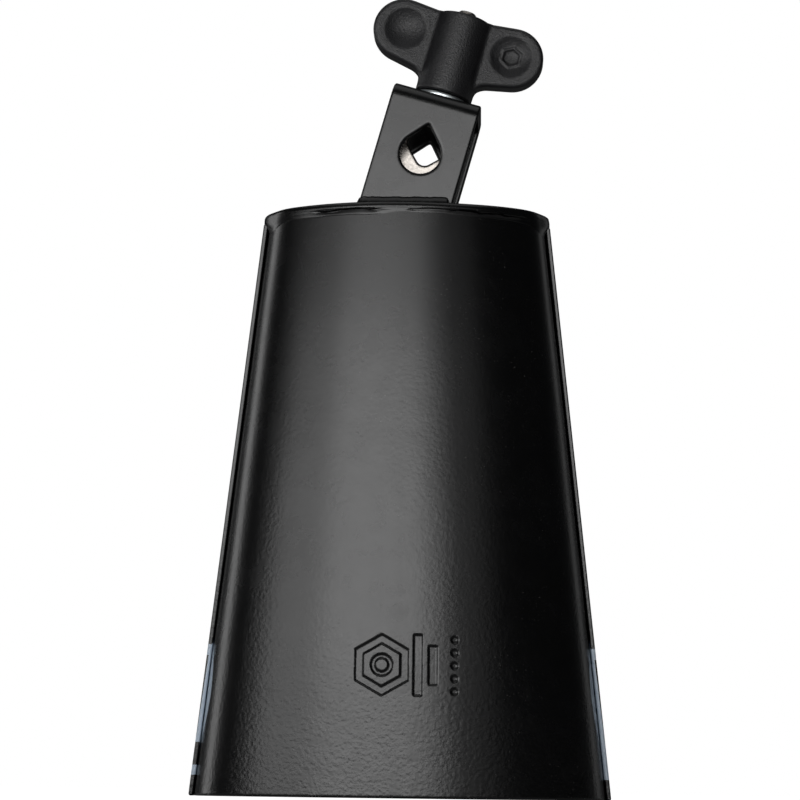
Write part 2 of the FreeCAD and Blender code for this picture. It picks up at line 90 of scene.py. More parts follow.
front_low, front_high = box_mm("front_shell")
rear_low, rear_high = box_mm("rear_shell")
cap_low, cap_high = box_mm("top_cap")
SHELL_HEIGHT = front_high[2]
LAP = rear_high[0] - front_high[0]
SHEET = 1.6
PANEL_ANGLE = math.radians(35)
HALF_WIDTH = (front_high[0], cap_high[0] - LAP)
HALF_DEPTH = (-front_low[1], -cap_low[1])
PANEL_RADIUS = (99.0, 67.6)
CORNER_RADIUS = (31.0, 21.8)
print(f"mouth {2 * HALF_WIDTH[0]:.1f} x {2 * HALF_DEPTH[0]:.1f}, height {SHELL_HEIGHT:.1f} mm")


def between(ends, share):
    return ends[0] + (ends[1] - ends[0]) * share


def soft_step(value, start, end):
    share = np.clip((value - start) / (end - start), 0, 1)
    return share * share * (3 - 2 * share)


def plan_point(slide, angle, flange, share, inset, extra, flange_end):
    """A point of the bell's plan, and the way the wall faces there.

    slide runs -1..1 over the flat middle, angle -90..90 degrees round the arcs, and flange 0..1
    along the side.  share is 0 at the mouth and 1 at the top; inset moves it into the sheet.
    """
    half_width = between(HALF_WIDTH, share) + extra - inset
    half_depth = between(HALF_DEPTH, share) - inset
    panel = between(PANEL_RADIUS, share) - inset
    corner = between(CORNER_RADIUS, share) - inset
    flat = half_width - corner - (panel - corner) * math.sin(PANEL_ANGLE)
    corner_y = panel - half_depth - (panel - corner) * math.cos(PANEL_ANGLE)
    turn = np.abs(angle)
    side = np.sign(angle)
    on_panel = turn <= PANEL_ANGLE + 1e-9
    x = np.where(
        on_panel,
        flat * slide + side * panel * np.sin(turn),
        side * (half_width - corner + corner * np.sin(turn)),
    )
    y = np.where(
        on_panel, panel * (1 - np.cos(turn)) - half_depth, corner_y - corner * np.cos(turn)
    )
    y = y + flange * (flange_end - corner_y)
    return x, y, side * np.sin(turn), -np.cos(turn)


# %% [markdown]
# ## Making a piece
# Every finished piece is handled the same way: its doubles are merged, its faces turned outwards,
# it is shaded smooth except over sharp corners, and it rides on one of the frame's bodies.  Its
# material slot's name picks its finish.

# %% Helpers for meshes
FINISHES = {}
MERGE_DISTANCE = 2e-6
THIN_DISTANCE = 1e-7


def add_piece(name, corners, faces, body, slot, stands_for=(), sharp=38):
    """A mesh in millimetres becomes an object at the origin, in metres, on its body."""
    mesh = bpy.data.meshes.new(name)
    mesh.from_pydata((np.asarray(corners) * MM).tolist(), [], faces)
    return finish_piece(name, mesh, body, slot, stands_for, sharp)


def finish_piece(name, mesh, body, slot, stands_for=(), sharp=38):
    shape = bmesh.new()
    shape.from_mesh(mesh)
    bmesh.ops.remove_doubles(shape, verts=shape.verts, dist=MERGE_DISTANCE)
    bmesh.ops.dissolve_degenerate(shape, edges=shape.edges, dist=THIN_DISTANCE)
    bmesh.ops.recalc_face_normals(shape, faces=shape.faces)
    for face in shape.faces:
        face.smooth = True
    open_edges = sum(not edge.is_manifold for edge in shape.edges)
    shape.to_mesh(mesh)
    shape.free()
    mesh.set_sharp_from_angle(angle=math.radians(sharp))
    mesh.materials.clear()
    mesh.materials.append(FINISHES[slot])
    piece = bpy.data.objects.new(name, mesh)
    scene.collection.objects.link(piece)
    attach(piece, body)
    if stands_for:
        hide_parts(*stands_for)
    triangles = sum(len(face.vertices) - 2 for face in mesh.polygons)
    print(f"{name}: {triangles} triangles, {open_edges} open edges")
    return piece


def lattice(rows, columns, round_rows=False, round_columns=False):
    """Quads that join a grid of points, numbered row by row."""
    faces = []
    for row in range(rows if round_rows else rows - 1):
        below = row * columns
        above = (row + 1) % rows * columns
        for column in range(columns if round_columns else columns - 1):
            after = (column + 1) % columns
            faces.append((below + column, below + after, above + after, above + column))
    return faces


# %% [markdown]
# ## Finishes
# Powder coat isn't flat black: it flows as it bakes and leaves a shallow orange peel a couple of
# millimetres across, with a finer grain on it, and its gloss varies a little from place to place.
# The same three effects, at other sizes, make moulded plastic and plated steel look real, so each
# is one node group, placed in every finish with its own values.

# %% Shared node groups
SOCKET_KIND = {float: "NodeSocketFloat", int: "NodeSocketInt"}


def new_group(name, inputs, output, output_kind="NodeSocketFloat", tree_kind="ShaderNodeTree"):
    """A node group with one output; an input is given as its default or as its socket's kind.

    Returns the group, what is given to it, its result and the identifiers of its inputs.
    """
    group = bpy.data.node_groups.new(name, tree_kind)
    names = {}
    for title, default in inputs.items():
        kind = SOCKET_KIND.get(type(default), default)
        socket = group.interface.new_socket(title, in_out="INPUT", socket_type=kind)
        if kind != default:
            socket.default_value = default
        names[title] = socket.identifier
    group.interface.new_socket(output, in_out="OUTPUT", socket_type=output_kind)
    given = group.nodes.new("NodeGroupInput").outputs
    return group, given, group.nodes.new("NodeGroupOutput").inputs[0], names


def feed(tree, socket, value):
    """Links a node's output to the socket, or sets the socket to a plain value."""
    if hasattr(value, "is_output"):
        tree.links.new(value, socket)
    else:
        socket.default_value = value


def add_math(tree, operation, *values, clamp=False):
    node = tree.nodes.new("ShaderNodeMath")
    node.operation = operation
    node.use_clamp = clamp
    for place, value in enumerate(values):
        feed(tree, node.inputs[place], value)
    return node.outputs[0]


def add_noise(tree, vector, scale, detail, roughness, distortion=0.0):
    node = tree.nodes.new("ShaderNodeTexNoise")
    titles = ("Vector", "Scale", "Detail", "Roughness", "Distortion")
    for title, value in zip(titles, (vector, scale, detail, roughness, distortion)):
        feed(tree, node.inputs[title], value)
    return node.outputs["Fac"]


def make_surface_grain():
    """Height of a coat or a moulding: broad waves plus a fine grain, sizes in millimetres."""
    group, given, result, _ = new_group(
        "surface_grain",
        {"Place": "NodeSocketVector", "Wave Size": 2.0, "Grain Size": 0.4, "Grain Share": 0.3},
        "Height",
    )
    calc = partial(add_math, group)
    wave_scale = calc("DIVIDE", 1000.0, given["Wave Size"])
    grain_scale = calc("DIVIDE", 1000.0, given["Grain Size"])
    wave = add_noise(group, given["Place"], wave_scale, 1.5, 0.45)
    grain = add_noise(group, given["Place"], grain_scale, 2.0, 0.6)
    fine = calc("MULTIPLY", grain, given["Grain Share"])
    height = calc("ADD", wave, fine)
    group.links.new(height, result)
    return group


def make_handling_marks():
    """Where fingers and cloths have polished or dulled a surface: 0 untouched, 1 marked."""
    group, given, result, _ = new_group(
        "handling_marks", {"Place": "NodeSocketVector", "Patch Size": 30.0, "Amount": 0.5}, "Mask"
    )
    calc = partial(add_math, group)
    patch_scale = calc("DIVIDE", 1000.0, given["Patch Size"])
    smear_scale = calc("MULTIPLY", patch_scale, 7.0)
    patch = add_noise(group, given["Place"], patch_scale, 3.0, 0.6, 0.6)
    smear = add_noise(group, given["Place"], smear_scale, 2.0, 0.5, 0.5)
    both = calc("MULTIPLY", patch, smear)
    lifted = calc("MULTIPLY_ADD", both, 2.6, -0.3, clamp=True)
    mask = calc("MULTIPLY", lifted, given["Amount"])
    group.links.new(mask, result)
    return group


def make_dust():
    """Sparse pale specks, as on any black surface in good light."""
    group, given, result, _ = new_group(
        "dust_specks", {"Place": "NodeSocketVector", "Speck Size": 0.5, "Amount": 0.3}, "Mask"
    )
    calc = partial(add_math, group)
    scale = calc("DIVIDE", 1000.0, given["Speck Size"])
    specks = add_noise(group, given["Place"], scale, 0.0, 0.5)
    zones = add_noise(group, given["Place"], 45.0, 2.0, 0.6)
    peaks = calc("MULTIPLY_ADD", specks, 12.0, -9.3, clamp=True)
    where = calc("MULTIPLY_ADD", zones, 4.0, -1.8, clamp=True)
    mask = calc("MULTIPLY", calc("MULTIPLY", peaks, where), given["Amount"])
    group.links.new(mask, result)
    return group


GRAIN = make_surface_grain()
MARKS = make_handling_marks()
DUST = make_dust()
print("node groups:", GRAIN.name, MARKS.name, DUST.name)


# %% [markdown]
# Each finish is a Principled shader fed by those groups.  What is the same all over, such as
# whether it is metal, is set on the shader's own socket; what varies comes in through a link.

# %% The finish builder
DUST_COLOUR = (0.35, 0.34, 0.32)
SPECK_SIZE = 0.45


def place_group(tree, group, place, **values):
    node = tree.nodes.new("ShaderNodeGroup")
    node.node_tree = group
    tree.links.new(place, node.inputs["Place"])
    for name, value in values.items():
        node.inputs[name.replace("_", " ")].default_value = value
    return node.outputs[0]


def mix_colour(tree, share, first, second):
    node = tree.nodes.new("ShaderNodeMix")
    node.data_type = "RGBA"
    for place, value in ((0, share), (6, first), (7, second)):
        feed(tree, node.inputs[place], (*value, 1) if isinstance(value, tuple) else value)
    return node.outputs[2]


def new_finish(name, colour, worn, roughness, worn_roughness, relief, wave, grain, share,
               patch=30.0, marks=0.6, dust=0.0, metallic=0.0):
    """A Principled material whose colour, gloss and relief vary; returns it with its parts."""
    finish = bpy.data.materials.new(name)
    finish.use_nodes = True
    tree = finish.node_tree
    shader = next(node for node in tree.nodes if node.type == "BSDF_PRINCIPLED")
    place = tree.nodes.new("ShaderNodeTexCoord").outputs["Object"]
    marked = place_group(tree, MARKS, place, Patch_Size=patch, Amount=marks)
    base = mix_colour(tree, marked, colour, worn)
    if dust:
        specks = place_group(tree, DUST, place, Speck_Size=SPECK_SIZE, Amount=dust)
        base = mix_colour(tree, specks, base, DUST_COLOUR)
    tree.links.new(base, shader.inputs["Base Color"])
    gloss = add_math(tree, "MULTIPLY_ADD", marked, worn_roughness - roughness, roughness)
    tree.links.new(gloss, shader.inputs["Roughness"])
    height = place_group(tree, GRAIN, place, Wave_Size=wave, Grain_Size=grain, Grain_Share=share)
    bump = tree.nodes.new("ShaderNodeBump")
    bump.inputs["Distance"].default_value = relief * MM
    tree.links.new(height, bump.inputs["Height"])
    tree.links.new(bump.outputs["Normal"], shader.inputs["Normal"])
    shader.inputs["Metallic"].default_value = metallic
    return finish, tree, shader, place, base


# %% [markdown]
# ### Satin black powder coat, with the printed ring on the sides
# Beside the mouth, on both sides, a pale ring with a bar under it is printed over the coat.  A
# print has no thickness worth modelling, so it is a mask in the coat's own colour, read from where
# a point is on the bell: how far back it is (Y) and how high (Z), on the outer side walls only.
# On the lap's end face a wedge of it is left off, which paints the shade on that face.  The coat's
# orange peel is deepest near the mouth and fades towards the top, where the coat is thinner.

# %% The black coat and its print
PRINT_COLOUR = (0.36, 0.43, 0.51)
RING_CENTRE = (6.0, 35.0)
RING_REACH = (18.0, 22.4)
SIDE_START = 55.0
TAIL_START = -8.5
# where the print is left off at the lap's end: painted shade on that face
LAP_SHADE_START = -4.6
LAP_SHADE_DEPTH = 0.35
LAP_SHADE_SLOPE = 0.022
PEEL_AT_MOUTH, PEEL_AT_TOP, PEEL_LOSS = 0.098, 0.007, 0.0005
# each band is its middle and its half width
RING_BAND = (0.76, 0.24)
BAR_RISE, BAR_LENGTH = (8.8, 1.7), (6.0, 12.2)
TAIL_RISE = (15.5, 5.2)
LAP_SHADE_RISE = (34.0, 14.0)


def near(calc, value, band):
    """1 inside the band, 0 outside."""
    middle, half = band
    apart = calc("ABSOLUTE", calc("SUBTRACT", value, middle))
    return calc("LESS_THAN", apart, half)


def all_of(calc, mask, *others):
    for other in others:
        mask = calc("MULTIPLY", mask, other)
    return mask


def print_mask(tree, place):
    calc = partial(add_math, tree)
    split = tree.nodes.new("ShaderNodeSeparateXYZ")
    tree.links.new(place, split.inputs[0])
    x, y, z = (calc("DIVIDE", part, MM) for part in split.outputs)
    across, up = (
        calc("DIVIDE", calc("SUBTRACT", part, middle), half)
        for part, middle, half in zip((y, z), RING_CENTRE, RING_REACH)
    )
    square = calc("MULTIPLY_ADD", across, across, calc("MULTIPLY", up, up))
    ring = near(calc, calc("SQRT", square), RING_BAND)
    beside = near(calc, y, BAR_LENGTH)
    bar = all_of(calc, near(calc, z, BAR_RISE), beside)
    tail = all_of(
        calc, near(calc, z, TAIL_RISE), beside, calc("GREATER_THAN", y, TAIL_START),
        calc("GREATER_THAN", x, 0.0),
    )
    shapes = calc("MAXIMUM", calc("MAXIMUM", ring, bar), tail)
    wide = calc("ABSOLUTE", x)
    slope = (HALF_WIDTH[1] - HALF_WIDTH[0]) / SHELL_HEIGHT - LAP_SHADE_SLOPE
    edge = calc("SUBTRACT", wide, calc("MULTIPLY", z, slope))
    # the print is left off this wedge of the lap's end, as painted shade
    painted_lap_shade = all_of(
        calc, calc("GREATER_THAN", edge, HALF_WIDTH[0] + LAP + LAP_SHADE_DEPTH),
        near(calc, z, LAP_SHADE_RISE), calc("LESS_THAN", y, LAP_SHADE_START),
    )
    left = calc("SUBTRACT", 1.0, painted_lap_shade)
    return all_of(calc, shapes, left, calc("GREATER_THAN", wide, SIDE_START))


FINISHES["black_coat"], coat_tree, coat_shader, coat_place, coat_base = new_finish(
    "satin_black_coat", (0.0012, 0.0012, 0.0013), (0.0026, 0.0026, 0.0028), 0.25, 0.31,
    relief=0.10, wave=1.35, grain=0.5, share=0.18, patch=45.0, marks=0.8, dust=0.25,
)
height_up = coat_tree.nodes.new("ShaderNodeSeparateXYZ")
coat_tree.links.new(coat_place, height_up.inputs[0])
thinner = add_math(coat_tree, "MULTIPLY_ADD", height_up.outputs[2], -PEEL_LOSS, PEEL_AT_MOUTH * MM)
peel = add_math(coat_tree, "MAXIMUM", thinner, PEEL_AT_TOP * MM)
coat_bump = next(node for node in coat_tree.nodes if node.type == "BUMP")
coat_tree.links.new(peel, coat_bump.inputs["Distance"])
printed = print_mask(coat_tree, coat_place)
coat_colour = mix_colour(coat_tree, printed, coat_base, PRINT_COLOUR)
coat_tree.links.new(coat_colour, coat_shader.inputs["Base Color"])

# %% The other finishes
FINISHES["bright_nickel"] = new_finish(
    "polished_nickel", (0.300, 0.280, 0.258), (0.235, 0.218, 0.200), 0.22, 0.40,
    relief=0.012, wave=1.2, grain=0.25, share=0.4, patch=8.0, marks=0.9, metallic=1.0,
)[0]
FINISHES["zinc_plate"] = new_finish(
    "zinc_plating", (0.80, 0.85, 0.86), (0.66, 0.71, 0.73), 0.30, 0.46,
    relief=0.010, wave=0.8, grain=0.2, share=0.5, patch=6.0, marks=0.9, metallic=1.0,
)[0]
FINISHES["black_plastic"] = new_finish(
    "grained_plastic", (0.0062, 0.0061, 0.0070), (0.013, 0.013, 0.0145), 0.40, 0.50,
    relief=0.12, wave=0.75, grain=0.40, share=1.0, patch=10.0, marks=0.8, dust=0.15,
)[0]
print("finishes:", [finish.name for finish in FINISHES.values()])

# %% [markdown]
# ## The half shells
# Each half is pressed from one sheet 1.6 mm thick.  A lathe can't make it, because the plan isn't
# round, and a subdivided box would lose the exact arcs.  So its points are worked out directly:
# a row of points follows the plan, and the rows go down the outside, round the mouth's rolled
# edge and up the inside, which makes the sheet's thickness in the same step.
# The front half carries a stamped mark: a hexagon band, a round groove, two bars and a row of
# dots, sunk about half a millimetre.  The rows and columns are closer there, so that the sunk
# walls are real geometry.

# %% The stamped mark
MARK_HEIGHT = 43.8
STAMP_DEPTH = 0.6
STAMP_WALL = (-0.28, 0.34)
HEXAGON_X, HEXAGON_SIZE, HEXAGON_HALF_LINE = -6.6, 7.5, 1.3
GROOVE_RADIUS, GROOVE_HALF_LINE = 2.9, 0.7
BARS = ((5.4, 10.1), (10.4, 6.4))
BAR_HALF_WIDTH, BAR_ROUNDING = 1.4, 0.4
DOT_X, DOT_SPACING, DOT_RADIUS = 17.6, 4.3, 1.05


def hexagon_gap(x, z, size):
    """Distance to a hexagon whose corners point up and down; size is to a flat."""
    x, z = np.abs(x), np.abs(z)
    return np.maximum(x, 0.5 * x + math.sqrt(3) / 2 * z) - size


def rounded_meet(a, b, radius):
    """Distance to where the insides of a and b overlap, with a round edge where they meet."""
    return (
        np.hypot(np.maximum(a + radius, 0), np.maximum(b + radius, 0))
        + np.minimum(np.maximum(a, b) + radius, 0) - radius
    )


def stamp_depth(x, z):
    """How deep the mark is sunk at a point of the front panel."""
    up = z - MARK_HEIGHT
    along = x - HEXAGON_X
    gaps = [
        np.abs(hexagon_gap(along, up, HEXAGON_SIZE)) - HEXAGON_HALF_LINE,
        np.abs(np.hypot(along, up) - GROOVE_RADIUS) - GROOVE_HALF_LINE,
    ]
    for bar_x, half_tall in BARS:
        beside = np.abs(x - bar_x) - BAR_HALF_WIDTH
        gaps.append(rounded_meet(beside, np.abs(up) - half_tall, BAR_ROUNDING))
    for step in range(-2, 3):
        gaps.append(np.hypot(x - DOT_X, up - step * DOT_SPACING) - DOT_RADIUS)
    return STAMP_DEPTH * (1 - soft_step(np.minimum.reduce(gaps), *STAMP_WALL))


# %% The wall's rows and columns
def spaced(start, end, step):
    return np.linspace(start, end, max(2, round(abs(end - start) / step) + 1))


def plan_columns(fine, flange_steps):
    """The columns' places along the plan, from one flange end to the other."""
    arc = np.radians(np.concatenate([
        spaced(0, 12, 0.18 if fine else 2.0), spaced(12, 35, 1.4)[1:], spaced(35, 90, 4.0)[1:]
    ]))[1:]
    flat = spaced(-1, 1, 0.5)
    back = np.linspace(0, 1, flange_steps + 1)[1:]
    slide = np.concatenate([-np.ones(len(back) + len(arc)), flat, np.ones(len(arc) + len(back))])
    angle = np.concatenate([
        np.full(len(back), -math.pi / 2), -arc[::-1], np.zeros(len(flat)), arc,
        np.full(len(back), math.pi / 2),
    ])
    flange = np.concatenate([back[::-1], np.zeros(2 * len(arc) + len(flat)), back])
    return slide, angle, flange


def wall_rows(fine):
    """(inset, height) of each row: down the outside, round the rim and up the inside."""
    middle = spaced(56, 32, 0.3 if fine else 4)
    heights = np.concatenate([
        [SHELL_HEIGHT, SHELL_HEIGHT - 0.8], spaced(SHELL_HEIGHT - 2.5, 60, 4), middle,
        spaced(29, 2, 4), [1.2, 0.8],
    ])
    half = SHEET / 2
    turn = np.radians(np.arange(22.5, 180, 22.5))
    rim = np.stack([half * (1 - np.cos(turn)), half * (1 - np.sin(turn))], 1)
    outer = np.stack([np.zeros(len(heights)), heights], 1)
    inner = np.stack([np.full(len(heights), SHEET), heights[::-1]], 1)
    return np.concatenate([outer, rim, inner]), len(heights)


def panel_wave(x, z, phase):
    """The slight unevenness of a pressed sheet, a few hundredths of a millimetre."""
    broad = 0.05 * np.sin(x / 13 + phase) * np.sin(z / 23 + 2 * phase)
    return broad + 0.03 * np.sin(z / 9 + x / 31)


def make_half_shell(name, node, rear):
    fine = not rear
    slide, angle, flange = plan_columns(fine, 3 if rear else 2)
    rows, count = wall_rows(fine)
    inset = rows[:, :1]
    height = np.broadcast_to(rows[:, 1:], (len(rows), len(slide)))
    extra = LAP if rear else 0.0
    end = -rear_low[1] if rear else front_high[1]
    x, y, face_x, face_y = plan_point(
        slide, angle, flange, height / SHELL_HEIGHT, inset, extra, end
    )
    sink = panel_wave(x, height, 1.0 + rear) * (1 - flange)
    if fine:
        sink = sink + stamp_depth(x, height)
    x, y = x - face_x * sink, y - face_y * sink
    turned = -1 if rear else 1
    corners = np.stack([x * turned, y * turned, height], -1).reshape(-1, 3)
    columns, total = len(slide), len(rows)
    faces = lattice(total, columns, round_rows=True)
    for column in (0, columns - 1):
        for row in range(count - 1):
            facing = total - 1 - row
            ends = (row, row + 1, facing - 1, facing)
            faces.append(tuple(r * columns + column for r in ends))
        faces.append(tuple(r * columns + column for r in range(count - 1, total - count + 1)))
    return add_piece(name, corners, faces, "bell", "black_coat", [node])


def soften_edges(piece, width):
    """A coated edge is never sharp: a narrow Bevel rounds it."""
    bevel = piece.modifiers.new("coated_edge", "BEVEL")
    bevel.width = width * MM
    bevel.segments = 3
    bevel.limit_method = "ANGLE"
    bevel.angle_limit = math.radians(40)


soften_edges(make_half_shell("front_panel", "front_shell", False), 0.35)
soften_edges(make_half_shell("rear_panel", "rear_shell", True), 0.45)

# %% [markdown]
# ## The closing plate
# The plate is cut to the top's outline, laid on the shells and welded all round.  Its upper edge
# is rolled over, and the heat of the weld has left its lower edge wavy.  It is made of rings: each
# ring is the plan's outline, moved in and up or down, from the middle of the top, over the edge,
# to the middle of the underside.

# %% The plan's outline
LOOP_ARC = np.radians(np.concatenate([spaced(0, 35, 1.25), spaced(35, 90, 2.5)[1:]]))[1:]
LOOP_FLAT = spaced(-1, 1, 0.5)
LOOP_SLIDE = np.concatenate([-np.ones(len(LOOP_ARC)), LOOP_FLAT, np.ones(len(LOOP_ARC))])
LOOP_ANGLE = np.concatenate([-LOOP_ARC[::-1], 0 * LOOP_FLAT, LOOP_ARC])


def outline(inset, lap_share=1.0, height=SHELL_HEIGHT):
    """The whole outline, front half then rear half.  Each value can vary along it.

    lap_share says how far the front half reaches out over the lap: 0 is the front shell's own
    outline and 1 the plate's.
    """
    count = len(LOOP_ANGLE)
    halves = []
    for half in (0, 1):
        own_inset, own_share, own_height = (
            np.broadcast_to(value, 2 * count)[half * count:][:count]
            for value in (inset, lap_share, height)
        )
        extra = LAP if half else LAP * own_share
        level = np.minimum(own_height / SHELL_HEIGHT, 1)
        x, y, _, _ = plan_point(LOOP_SLIDE, LOOP_ANGLE, 0, level, own_inset, extra, 0)
        halves.append(np.stack([x, y], 1) * (1 - 2 * half))
    return np.concatenate(halves)


# %% The plate's rings
EDGE_ROLL = 1.8
CAP_TOP = cap_high[2]
CAP_UNDER = cap_low[2]


def open_joint(x, y):
    """Where the weld hasn't filled the joint: 1 in two stretches of the front, 0 elsewhere."""
    left = soft_step(x, -36, -29) * (1 - soft_step(x, -14, -9))
    right = soft_step(x, 12, 21) * (1 - soft_step(x, 37, 43))
    faint = 0.35 * soft_step(x, 0, 6) * (1 - soft_step(x, 20, 24))
    rear = 0.7 * soft_step(x, -22, -14) * (1 - soft_step(x, 12, 20))
    return np.where(y < 0, np.maximum(np.maximum(left, right), faint), rear)


def lip_wave(x, y):
    """The lower edge's waviness, in millimetres; it grows where the joint is open."""
    along = x + 0.6 * y
    ripple = 0.5 * np.sin(along / 2.1) + 0.3 * np.sin(along / 0.93 + 1)
    ripple = ripple + 0.35 * np.sin(along / 5.2 + 2)
    return (0.04 + 0.3 * open_joint(x, y)) * ripple


loop_turn = np.abs(np.concatenate([LOOP_ANGLE, LOOP_ANGLE]))
plate_share = 0.3 + 0.7 * soft_step(loop_turn, math.radians(60), math.radians(84))


def plate_ring(inset, height, shrink, waved):
    """A ring of the plate; its roll is tighter and stands a little higher towards the right."""
    lifted = soft_step(outline(0.0)[:, 0], 15, 45)
    loop = outline(inset * (1 - 0.45 * lifted * (inset < 2)), plate_share) * shrink
    level = height + waved * lip_wave(loop[:, 0], loop[:, 1])
    level = level + 0.35 * lifted * (height > CAP_TOP - EDGE_ROLL / 2) * min(shrink, 1)
    return np.column_stack([loop, level])


roll_turns = np.radians(np.arange(0, 91, 15))
plate_rings = [(6, CAP_TOP, share, 0) for share in (0.0, 0.35, 0.7, 1.0)] + [(3, CAP_TOP, 1, 0)]
plate_rings += [
    (EDGE_ROLL * (1 - math.sin(turn)), CAP_TOP - EDGE_ROLL * (1 - math.cos(turn)), 1, 0)
    for turn in roll_turns
]
plate_rings += [
    (0.0, CAP_UNDER + 0.45, 1, 0.8), (0.08, CAP_UNDER + 0.22, 1, 1), (0.3, CAP_UNDER + 0.05, 1, 1),
    (0.7, CAP_UNDER, 1, 1), (3, CAP_UNDER, 1, 0), (6, CAP_UNDER, 0.5, 0), (6, CAP_UNDER, 0, 0),
]
add_piece(
    "closing_plate", np.concatenate([plate_ring(*ring) for ring in plate_rings]),
    lattice(len(plate_rings), 2 * len(LOOP_ANGLE), round_columns=True),
    "bell", "black_coat", ["top_cap"],
)

# %% [markdown]
# The weld under the plate was dressed flush before coating: it runs smoothly from the plate's edge
# into the wall, hangs lower over the corners, where it also closes the top of each lap, and sinks
# back where the filler didn't reach.  It is made of rings like the plate.

# %% The dressed weld
joint_line = outline(0.0)
opened = open_joint(joint_line[:, 0], joint_line[:, 1])
corner_share = soft_step(loop_turn, math.radians(38), math.radians(66))
seam_share = soft_step(loop_turn, math.radians(80), math.radians(90))
hang = 0.35 * np.sin(joint_line[:, 0] / 3.1) + 0.2 * np.sin(joint_line[:, 0] / 1.3 + 1)
edge_wave = lip_wave(joint_line[:, 0], joint_line[:, 1])


def weld_ring(inset, drop, lap_share, sunk, waved):
    """A ring of the weld; drop is 0 at its top and 1 at its lower edge."""
    reach = 3.0 + 2.3 * corner_share - 0.8 * seam_share + 0.3 * hang
    height = CAP_UNDER + 0.85 - drop * reach + waved * edge_wave
    share = np.maximum(lap_share * plate_share, seam_share)
    proud = min(inset, 0) * (0.3 + 0.7 * opened) + max(inset, 0)
    loop = outline(proud + sunk * opened, share, height)
    return np.column_stack([loop, height])


weld_rings = [
    (1.3, 0.0, 1.0, 0, 0), (0.06, 0.0, 1.0, 0, 0), (-0.02, 0.08, 1.0, 0, 0),
    (-0.06, 0.17, 1.0, 0, 0.5), (-0.07, 0.22, 0.97, 0.35, 1), (-0.07, 0.25, 0.95, 1.3, 1),
    (-0.08, 0.38, 0.85, 1.3, 1.6),
    (-0.10, 0.41, 0.8, 0.1, 1.6), (-0.10, 0.46, 0.7, -0.22, 1.5), (-0.10, 0.56, 0.5, -0.12, 0.7),
    (-0.08, 0.68, 0.3, 0, 0), (-0.05, 0.8, 0.14, 0, 0), (0.0, 0.92, 0.03, 0, 0),
    (0.14, 1.0, 0.0, 0, 0), (1.3, 0.95, 0.0, 0, 0), (1.9, 0.4, 0.4, 0, 0),
]
add_piece(
    "dressed_weld", np.concatenate([weld_ring(*ring) for ring in weld_rings]),
    lattice(len(weld_rings), len(joint_line), round_rows=True, round_columns=True),
    "bell", "black_coat", ["cap_weld"],
)

# %% [markdown]
# ## Weld beads
# The strap is welded down along its two feet, and those beads weren't dressed.  Each follows its
# foot, and its width pulses as each drop of filler freezes.  Geometry Nodes suit it: one tree
# sweeps a round section along whatever path the object holds, with the pulse worked out from the
# distance along the path.  Each point of the path has its own share of filler, so the ends taper.

# %% The weld bead tree
WANDERS_PER_METRE = 260.0
BEAD_SIDES = 14


def tree_node(tree, kind, inputs=None, **settings):
    """Adds a node, sets or links its inputs, and returns its outputs."""
    node = tree.nodes.new(kind)
    for name, value in settings.items():
        setattr(node, name, value)
    for name, value in (inputs or {}).items():
        feed(tree, node.inputs[name], value)
    return node.outputs


def hand_over(tree, shape, finish, result):
    """The last steps of a tree: instances made real and the finish set."""
    shape = tree_node(tree, "GeometryNodeRealizeInstances", {"Geometry": shape})[0]
    shape = tree_node(tree, "GeometryNodeSetMaterial", {"Geometry": shape, "Material": finish})
    tree.links.new(shape[0], result)


def make_weld_tree():
    tree, given, result, names = new_group("weld_bead", {
        "Path": "NodeSocketGeometry", "Width": 0.002, "Tallness": 1.0, "Point Spacing": 0.0004,
        "Pulse Length": 0.0016, "Pulse Share": 0.08, "Wander Share": 0.12, "Seed": 0.0,
        "Finish": "NodeSocketMaterial",
    }, "Bead", "NodeSocketGeometry", "GeometryNodeTree")
    calc = partial(add_math, tree)
    step = partial(tree_node, tree)
    path = step("GeometryNodeMeshToCurve", {"Mesh": given["Path"]})[0]
    path = step(
        "GeometryNodeResampleCurve", {"Curve": path, "Length": given["Point Spacing"]},
        mode="LENGTH",
    )[0]
    along = step("GeometryNodeSplineParameter")["Length"]
    turns = calc("DIVIDE", along, given["Pulse Length"])
    pulse = calc("SINE", calc("MULTIPLY", turns, 2 * math.pi))
    pulse = calc("MULTIPLY", pulse, given["Pulse Share"])
    spot = calc("MULTIPLY_ADD", along, WANDERS_PER_METRE, given["Seed"])
    wander = step("ShaderNodeTexNoise", {"W": spot, "Scale": 1.0}, noise_dimensions="1D")["Fac"]
    wander = calc("SUBTRACT", wander, 0.5)
    wander = calc("MULTIPLY", wander, given["Wander Share"])
    filler = step(
        "GeometryNodeInputNamedAttribute", {"Name": "filler"}, data_type="FLOAT"
    )["Attribute"]
    width = calc("ADD", calc("ADD", pulse, wander), filler)
    width = calc("MULTIPLY", width, given["Width"])
    section = step(
        "GeometryNodeCurvePrimitiveCircle", {"Resolution": BEAD_SIDES, "Radius": 1.0}
    )[0]
    stretch = step("ShaderNodeCombineXYZ", {"X": 1.0, "Y": given["Tallness"], "Z": 1.0})[0]
    section = step("GeometryNodeTransform", {"Geometry": section, "Scale": stretch})[0]
    bead = step(
        "GeometryNodeCurveToMesh",
        {"Curve": path, "Profile Curve": section, "Scale": width, "Fill Caps": True},
    )[0]
    hand_over(tree, bead, given["Finish"], result)
    return tree, names


def grown_mesh(name, path_mesh, tree, names, values):
    """Runs a Geometry Nodes tree on a mesh and returns the result as a plain mesh."""
    holder = bpy.data.objects.new(f"{name}_path", path_mesh)
    scene.collection.objects.link(holder)
    modifier = holder.modifiers.new("grown", "NODES")
    modifier.node_group = tree
    for title, value in values.items():
        modifier[names[title]] = value
    shown = holder.evaluated_get(bpy.context.evaluated_depsgraph_get())
    mesh = bpy.data.meshes.new_from_object(shown)
    mesh.name = name
    holder.modifiers.remove(modifier)
    bpy.data.objects.remove(holder)
    return mesh


WELD_TREE = make_weld_tree()


